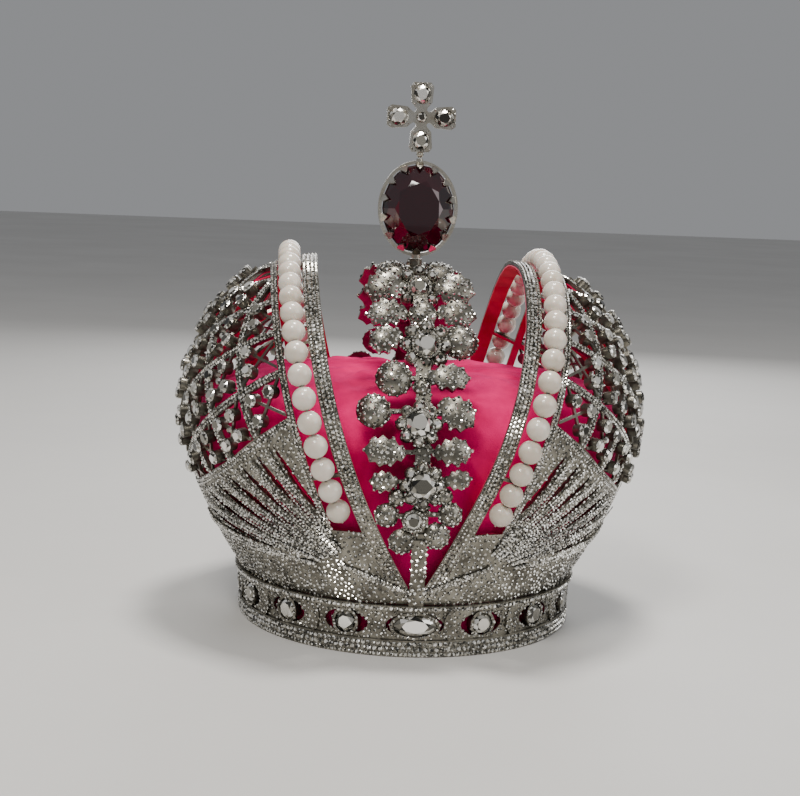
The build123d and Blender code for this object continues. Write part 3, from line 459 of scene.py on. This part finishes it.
# The lining's crimson on the inner faces is partly a real red lining and partly a painted reflection of the
# velvet cap, which bare metal in a pale studio would not show.
LINING_AND_PAINTED_VELVET_REFLECTION = worn_material("lining", (0.42, 0.002, 0.045), (0.74, 0.008, 0.11), 40, 1100, 0.0001, (0.8, 0.65), {
    "Specular IOR Level": 0.2, "Sheen Weight": 0.35, "Sheen Roughness": 0.4,
    "Sheen Tint": (1.0, 0.4, 0.5, 1.0)})
THREAD = worn_material("thread", (0.50, 0.45, 0.36), (0.75, 0.70, 0.58), 200, 2600, 0.0001, (0.85, 0.75), {
    "Specular IOR Level": 0.2, "Sheen Weight": 0.3})

for node, carried in NODES.items():
    finish = SILVER
    if node.endswith("_lining"):
        finish = LINING_AND_PAINTED_VELVET_REFLECTION
    elif node.endswith("_pearls"):
        finish = PEARL
    elif node.endswith("_thread"):
        finish = THREAD
    elif node.endswith(("_dome", "_rosettes")) or node in ("circlet", "arch_garland"):
        finish = BLACKENED_AND_SHADED_SILVER
    carried.data.materials.clear()
    carried.data.materials.append(finish)


# ---------------------------------------------------------------- main stones, cut finer
def recut(node, made, seed, mains=8, low=0.8, high=0.8):
    """Replaces a CAD stone with a finer cut one of the same size and place."""
    triangles = node_triangles(node)
    _, normals, areas = faces_of(triangles)
    up = max(normals, key=lambda way: areas[(normals @ way) > 0.999].sum())
    points = triangles.reshape(-1, 3)
    flat = points - (points @ up)[:, None] * up
    long_way = np.linalg.eigh(np.cov((flat - flat.mean(axis=0)).T))[1][:, 2]
    axes = np.stack([long_way, np.cross(up, long_way), up])
    own = points @ axes.T
    least, most = own.min(axis=0), own.max(axis=0)
    reach, middle = (most - least) / 2, (most + least) / 2
    girdle = own[np.abs(own[:, 0] - middle[0]) > 0.9 * reach[0], 2].max()
    size = math.sqrt(reach[0] * reach[1])
    mesh = ground_stone(f"cut_{node}", (most[2] - girdle) / size, (girdle - least[2]) / size, 0.56, mains)
    centre = axes.T @ np.array([middle[0], middle[1], girdle])
    rows = np.column_stack([axes[0] * reach[0], axes[1] * reach[1], up * size, centre]) * MM
    mesh.transform(Matrix(rows.tolist() + [[0, 0, 0, 1]]))
    paint_facet_glints(mesh, seed, low, high)
    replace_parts(dressed(f"cut_{node}", mesh, made), node)


for number, node in enumerate(sorted(NODES)):
    if node == "red_stone":
        recut(node, RED, 5, 10, 0.9, 1.6)
    elif "stone_" in node and "setting" not in node:
        recut(node, DIAMOND, 40 + number)

# ---------------------------------------------------------------- half domes
# Set on the back right quarter, then mirrored to the front and to the left.
lattice = Setter()
pave = Setter()
random = np.random.default_rng(11)


def line_stones(line, pitch, radius, lift=0.15, keep=None):
    """Stones one pitch apart along a line on the skin."""
    found, along = walk(line, pitch, pitch / 2)
    if keep is not None:
        good = keep(found)
        found, along = found[good], along[good]
    lattice.place(found, skin_normals(found), radius, along=along, lift=lift)


# Rows beside the pearls: distance from them, pitch, radius. The outer ones start higher up.
INNER_ROWS = [(-7.3, 1.75, 0.84), (-9.3, 2.45, 1.2), (-11.3, 2.0, 0.96), (-13.1, 1.6, 0.76)]
OUTER_ROWS = [(7.15, 1.75, 0.85), (8.95, 1.75, 0.85)]
for rows, lowest in ((INNER_ROWS, 27.0), (OUTER_ROWS, 60.0)):
    for distance, pitch, radius in rows:
        line_stones(arc_line(distance, lowest), pitch, radius)

# The lattice: two rows of stones on each rising and each falling ribbon.
TWO_ROWS = (-1.05, 1.05)
EDGE_PITCH, EDGE_STONE, EDGE_CLEARANCE = 1.95, 0.95, 9.8
ribbons = []
for index in range(8):
    along = np.linspace(0.0, 130.0, 700)
    up = RUNG_START + RUNG_STEP * index + RUNG_SLOPE * along
    ribbons.append(skin_points(along, up)[up < SKIN_UP[-1]])
rise = np.linspace(0, 330, 1400)
for index in range(-1, 9):
    along = (HOOP_START + HOOP_STEP * index - HOOP_LEAN * rise) / (1 + HOOP_LEAN * RUNG_SLOPE)
    up = rise + RUNG_SLOPE * along
    ribbons.append(skin_points(along, up)[(along > 0) & (up < SKIN_UP[-1]) & (up > 0)])
for line in ribbons:
    for shift in TWO_ROWS if len(line) > 5 else ():
        line_stones(beside(line, shift), 2.0, 0.99, keep=in_panel)

side_rib = skin_points(np.zeros(600), np.linspace(30, SKIN_UP[-1], 600)) + np.array([0, 1.05, 0])
line_stones(side_rib, EDGE_PITCH, EDGE_STONE,
            keep=lambda p: (p[:, 2] > EDGE_LOW) & (row_distance(p) > EDGE_CLEARANCE))
for shift in TWO_ROWS:
    depth = np.linspace(0.3, 92.0, 700)
    edge = np.stack([depth * 0, depth, depth * 0], axis=1)
    edge[:, 2] = edge_height(edge) + shift
    half_width, half_depth = row_at(edge[:, 2])
    edge[:, 0] = half_width * np.sqrt(np.maximum(1 - (depth / half_depth) ** 2, 0))
    line_stones(edge, EDGE_PITCH, EDGE_STONE, keep=lambda p: row_distance(p) > EDGE_CLEARANCE)


def open_leaf(points):
    """Whether points of a palm leaf lie below the lattice and clear of the pearl channel."""
    distance = row_distance(points)
    off_channel = (np.abs(distance) > 6.6) | (points[:, 2] < 60)
    return (points[:, 2] < edge_height(points) - 1.5) & (points[:, 0] > 1.0) & off_channel & (distance > -14)


# Palm leaves: graduated stones along the middle of each and smaller ones at its sides.
for slope, near, far, width in PALM_LEAVES:
    reach = np.linspace(near + 1, far - 1, 300)
    angle = math.radians(slope)
    swell = width / 2 * (1 - (2 * (reach - near) / (far - near) - 1) ** 2)
    for share, pitch, radius in ((-0.58, 1.7, 0.82), (0.0, 2.1, 1.05), (0.58, 1.7, 0.82)):
        out = share * swell
        line = skin_points(FAN_ALONG + reach * math.cos(angle) - out * math.sin(angle),
                           FAN_UP + reach * math.sin(angle) + out * math.cos(angle), -math.pi / 2)
        line *= np.array([1, -1, 1])
        line_stones(line, pitch, radius, LEAF_RISE + 0.1, open_leaf)


def lower_field(middles, normals):
    """The plain skin below the lattice in the back quarter, clear of the pearl channel."""
    distance = row_distance(middles)
    outward = (skin_normals(middles) * normals).sum(1) > 0.93
    channel = (np.abs(distance) < SLOT_HALF_WIDTH) & (middles[:, 2] > 60)
    low = middles[:, 2] < edge_height(middles) - 2.4
    quarter = (middles[:, 1] > 0.4) & (middles[:, 0] > 0.5) & (distance > -SLOT_HALF_WIDTH)
    return outward & quarter & ~channel & (low | (distance < SLOT_HALF_WIDTH))


spots, ways = scatter(node_triangles("right_dome", 3.0), 1.85, 3, lower_field)
pave.place(spots, ways, random.uniform(0.72, 1.0, len(spots)), lift=0.12)

# Rosettes: a brilliant on every collet, claws round it and a small stone in the middle of each four.
COLLET_STONE, COLLET_SINK = 3.3, -0.75
CLAWS, CLAW_REACH, CLAW_SIZE, CLAW_SINK = 6, 3.05, 0.5, -0.5
middles, ways, areas = faces_of(node_triangles("right_rosettes"))
back = ((skin_normals(middles) * ways).sum(1) > 0.93) & (middles[:, 1] > 0)
groups = {}
for middle, way, area in zip(middles[back], ways[back], areas[back]):
    groups.setdefault(tuple(np.round(way, 2)), []).append((*middle, area))
for way, members in groups.items():
    members = np.array(members)
    way = unit(np.array(way))
    level = members[:, :3] @ way
    members = members[level > level.max() - 0.4]
    tops = []
    while len(members):
        near = np.linalg.norm(members[:, :3] - members[0, :3], axis=1) < 3.4
        if members[near, 3].sum() > 6:
            tops.append(np.average(members[near, :3], axis=0, weights=members[near, 3]))
        members = members[~near]
    if not tops:
        continue
    tops = np.array(tops)
    lattice.place(tops, way, COLLET_STONE, cut=BRILLIANT, lift=COLLET_SINK)
    first = unit(np.cross(way, (0, 0, 1.0)))
    second = np.cross(way, first)
    for turn in np.arange(CLAWS) * math.pi / 3:
        claws = tops + (first * math.cos(turn) + second * math.sin(turn)) * CLAW_REACH
        lattice.place(claws, way, CLAW_SIZE, lift=CLAW_SINK)
    if len(tops) == 4:
        lattice.place(tops.mean(axis=0), way, 1.9, cut=SMALL, lift=-2.0)

for setter, kind, seed in ((lattice, "row_stones", 61), (pave, "field_stones", 71)):
    right_mesh = setter.joined(f"right_dome_{kind}", DEPTH_AXIS)
    left_mesh = mirrored(right_mesh, WIDTH_AXIS)
    for side, mesh in (("right", right_mesh), ("left", left_mesh)):
        seed += 1
        paint_facet_glints(mesh, seed)
        dressed(f"{side}_dome_{kind}", mesh, DIAMOND)

# ---------------------------------------------------------------- circlet
# Rows of stones on the two rims: height, pitch, radius.
BAND_ROWS = [(1.25, 2.15, 1.04), (3.75, 2.75, 1.34), (6.35, 2.5, 1.2), (23.65, 2.35, 1.14)]
BAND_HEIGHTS, BAND_HALF_WIDTHS, BAND_HALF_DEPTHS = [0, 13, 25], [85.0, 85.5, 87.6], [91.0, 91.3, 91.6]
RIM_PROUD = 1.2
band = Setter()
turns = np.linspace(0, 2 * np.pi, 4001) - np.pi / 2
for z, pitch, radius in BAND_ROWS:
    half_width = np.interp(z, BAND_HEIGHTS, BAND_HALF_WIDTHS) + RIM_PROUD
    half_depth = np.interp(z, BAND_HEIGHTS, BAND_HALF_DEPTHS) + RIM_PROUD
    ring = np.stack([half_width * np.cos(turns), half_depth * np.sin(turns), np.full_like(turns, z)], axis=1)
    length = np.linalg.norm(np.diff(ring, axis=0), axis=1).sum()
    found, along = walk(ring, length / round(length / pitch), 0.1)
    ways = unit(found * np.array([half_width**-2, half_depth**-2, 0]))
    band.place(found, ways, radius, cut=SMALL, along=along, lift=0.25)


def band_front(middles, normals):
    """The circlet's outside between its rims."""
    outward = (unit(middles * np.array([85.0**-2, 91.0**-2, 0])) * normals).sum(1) > 0.9
    out = np.hypot(middles[:, 0] / 85.5, middles[:, 1] / 91.3) > 0.99
    return outward & out & (middles[:, 2] > 9.0) & (middles[:, 2] < 21.6)


spots, ways = scatter(node_triangles("circlet", 2.5), 1.75, 9, band_front)
band.place(spots, ways, random.uniform(0.70, 0.92, len(spots)), lift=0.12)
band_stones = band.joined("circlet_small_stones")
paint_facet_glints(band_stones, 63)
dressed("circlet_small_stones", band_stones, DIAMOND)

# ---------------------------------------------------------------- arch
garland = Setter()


def arch_frame(side, height, lean):
    """Place, outward way and upward way on the front of the arch."""
    rise = height - ARCH_SPRING
    if rise > 0:
        run = depth = math.sqrt(ARCH_RADIUS**2 - rise**2)
    else:
        run = math.sqrt(ARCH_SIDE_RADIUS**2 - rise**2)
        depth = run - ARCH_SIDE_RADIUS + ARCH_RADIUS
    slope = math.atan2(rise, run) - math.radians(lean)
    return (np.array([side, -depth, height]), np.array([0, -math.cos(slope), math.sin(slope)]),
            np.array([0, math.sin(slope), math.cos(slope)]))


def arch_front(middles, normals):
    """Faces of the arch's front half that look out of it."""
    rise = middles[:, 2] - ARCH_SPRING
    way = np.stack([rise * 0, middles[:, 1], rise * np.where(rise > 62, 0.6, 1.0)], axis=1)
    return ((unit(way) * normals).sum(1) > 0.36) & (middles[:, 1] < 0) & (middles[:, 2] > 26)


spots, ways = scatter(node_triangles("arch_garland", 2.5), 2.0, 17, arch_front)
clear = np.hypot(spots[:, 0], spots[:, 1]) > 6.6
across = np.array([1.0, 0, 0])
for side, height, outer, inner, lean in GARLAND_SETTINGS:
    centre, way, upward = arch_frame(side, height, lean)
    apart = spots - centre
    level = apart @ way
    clear &= (np.linalg.norm(apart - level[:, None] * way, axis=1) > inner + 1.5) | (np.abs(level) > 8)
    for count, reach, lift, size in ((LOBES, 0.72 * outer, SETTING_LIFT + 0.11 * outer - 0.35, 0.17 * outer),
                                     (int(3.8 * (inner + 0.9)), inner + 0.85, SETTING_DEPTH, 0.74)):
        angles = 2 * np.pi * np.arange(count)[:, None] / count
        ring = centre + way * lift + reach * (np.cos(angles) * across + np.sin(angles) * upward)
        for spot in ring if count == LOBES else ():
            clear &= np.linalg.norm(spots - spot, axis=1) > size + 0.7
        garland.place(ring, way, size, cut=SMALL, lift=0.1)
garland.place(spots[clear], ways[clear], random.uniform(0.86, 1.08, int(clear.sum())), lift=0.12)
arch_stones = garland.joined("arch_small_stones", DEPTH_AXIS)
paint_facet_glints(arch_stones, 64)
dressed("arch_small_stones", arch_stones, DIAMOND)

# ---------------------------------------------------------------- cross
# Small stones of one arm: distance from the cross's middle, and aside.
ARM_STONES = [
    (15.9, 4.3), (15.9, -4.3), (16.9, 2.2), (16.9, 0.0), (16.9, -2.2), (7.2, 3.7), (7.2, -3.7),
]
mount = Setter()
for angle in np.arange(4) * math.pi / 2:
    for out, wide in ARM_STONES:
        x = out * math.cos(angle) - wide * math.sin(angle)
        z = CROSS_MIDDLE + out * math.sin(angle) + wide * math.cos(angle)
        mount.place((x, -2.2, z), (0, -1, 0), 0.72, lift=0.05)
cross_stones = mount.joined("cross_small_stones", DEPTH_AXIS)
paint_facet_glints(cross_stones, 65)
dressed("cross_small_stones", cross_stones, DIAMOND)

# ---------------------------------------------------------------- velvet cap
CLOTH_THICKNESS = 1.2
CAP_INSET = 0.9
CAP_SIDES, CAP_LEVELS = 220, 90
FOLDS_START, FOLDS_FULL_AFTER = 98, 30
CREASE_DEPTH, CREASE_REACH, DISH_DEPTH = 9.0, 0.34, 3.0
PLEATS, PLEAT_TOP, PLEAT_SIDE = 9, 1.6, 1.3
CAP_SMOOTH = smooth_table(CAP_ROWS, 6)


def cap_point(around, share):
    """A point of the cap's cloth: round it, and from its hem at the rim to its middle."""
    last = len(CAP_SMOOTH) - 1
    spread = share * last * 1.2
    level = np.arange(last + 1)
    z, a, b = (float(np.interp(spread, level, CAP_SMOOTH[:, k])) for k in range(3))
    inner = min(max(spread - last, 0) / (0.2 * last), 1)
    a, b, z = (a - CAP_INSET) * (1 - inner), (b - CAP_INSET) * (1 - inner), z + 0.4 * inner - CAP_INSET
    turn = 2 * math.pi * around
    x, y = a * math.cos(turn), b * math.sin(turn)
    upper = min(max((z - FOLDS_START) / FOLDS_FULL_AFTER, 0), 1)
    warp = noise.noise_vector(Vector((x, y, z)) * 0.014)
    spot = Vector((x, y, z)) + warp * 30
    crease = abs(noise.noise(spot * 0.021)) + 0.45 * abs(noise.noise(spot * 0.052 + Vector((7, 3, 1))))
    pleat = abs(math.sin(turn * PLEATS + 3.0 * warp.x)) ** 0.6
    folds = CREASE_DEPTH * (CREASE_REACH - min(crease, CREASE_REACH))
    drop = upper * (folds + PLEAT_TOP * pleat * (1 - inner))
    drop += DISH_DEPTH * math.exp(-((x / 60) ** 2 + (y / 45) ** 2)) * upper
    pull = (1 - upper) * PLEAT_SIDE * pleat * min(max((z - 28) / 20, 0), 1) + 0.35 * drop
    length = max(math.hypot(x, y), 6)
    return x * (1 - pull / length), y * (1 - pull / length), z - 0.75 * drop


# The folds are the same in each run.
noise.seed_set(5)
cloth = bmesh.new()
bmesh.ops.create_grid(cloth, x_segments=CAP_SIDES, y_segments=CAP_LEVELS, size=1)
for vertex in cloth.verts:
    vertex.co = Vector(cap_point((vertex.co.x + 1) / 2, min((vertex.co.y + 1) / 2, 1.0))) * MM
# Closes the seam and the middle, where points coincide; no others are this near.
bmesh.ops.remove_doubles(cloth, verts=cloth.verts, dist=1e-6)
cap_mesh = finished(cloth, "velvet_cap_cloth")
cap_mesh.shade_smooth()
cap = dressed("velvet_cap_cloth", cap_mesh, VELVET)
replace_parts(cap, "velvet_cap")
thick = cap.modifiers.new("thick", "SOLIDIFY")
thick.thickness = CLOTH_THICKNESS * MM
thick.offset = -1

# ---------------------------------------------------------------- studio
paper = worn_material("paper", (0.60, 0.59, 0.57), (0.64, 0.63, 0.61), 3, 400, 0.0001, (0.7, 0.6), {})
ground_plane = bmesh.new()
bmesh.ops.create_grid(ground_plane, x_segments=1, y_segments=1, size=6)
floor_mesh = finished(ground_plane, "floor")
floor_mesh.materials.append(paper)
floor = bpy.data.objects.new("floor", floor_mesh)
bpy.context.scene.collection.objects.link(floor)

world = bpy.data.worlds.new("studio")
bpy.context.scene.world = world
world.use_nodes = True
world.node_tree.nodes["Background"].inputs["Color"].default_value = (0.55, 0.56, 0.58, 1)
world.node_tree.nodes["Background"].inputs["Strength"].default_value = 0.5


def soft_light(name, place, size, power, colour=(1, 1, 1)):
    """A soft square light aimed at the crown's middle."""
    data = bpy.data.lights.new(name, "AREA")
    data.size = size
    data.energy = power
    data.color = colour
    lamp = bpy.data.objects.new(name, data)
    lamp.location = place
    lamp.rotation_euler = (Vector((0, 0, 0.12)) - Vector(place)).to_track_quat("-Z", "Y").to_euler()
    bpy.context.scene.collection.objects.link(lamp)


soft_light("key", (-0.35, -0.75, 1.15), 0.30, 10.0, (1.0, 0.96, 0.90))
soft_light("fill", (0.95, -0.60, 0.55), 0.8, 4.5)
soft_light("top", (0.05, 0.05, 1.2), 0.22, 12.0, (1.0, 0.97, 0.93))
soft_light("back", (0.2, 1.1, 0.6), 0.7, 6.0)

# The camera stands where the photograph's does, and leans a little as it does.
CAMERA_PLACE = Vector((-0.05914, -0.83938, 0.23021))
CAMERA_LEAN = math.radians(2.26)
ahead = (Vector((0, 0, 0.110)) - CAMERA_PLACE).normalized()
right = ahead.cross(Vector((0, 0, 1))).normalized()
up = right.cross(ahead)
leaned = (right * math.cos(CAMERA_LEAN) + up * math.sin(CAMERA_LEAN),
          up * math.cos(CAMERA_LEAN) - right * math.sin(CAMERA_LEAN), -ahead)
camera_data = bpy.data.cameras.new("camera")
camera_data.lens = 72.9
camera_data.sensor_width = 36.0
camera_data.sensor_fit = "HORIZONTAL"
camera_data.shift_x = -0.0127
camera_data.shift_y = 0.0053
camera = bpy.data.objects.new("camera", camera_data)
camera.matrix_world = Matrix.Translation(CAMERA_PLACE) @ Matrix(leaned).transposed().to_4x4()
bpy.context.scene.collection.objects.link(camera)
bpy.context.scene.camera = camera
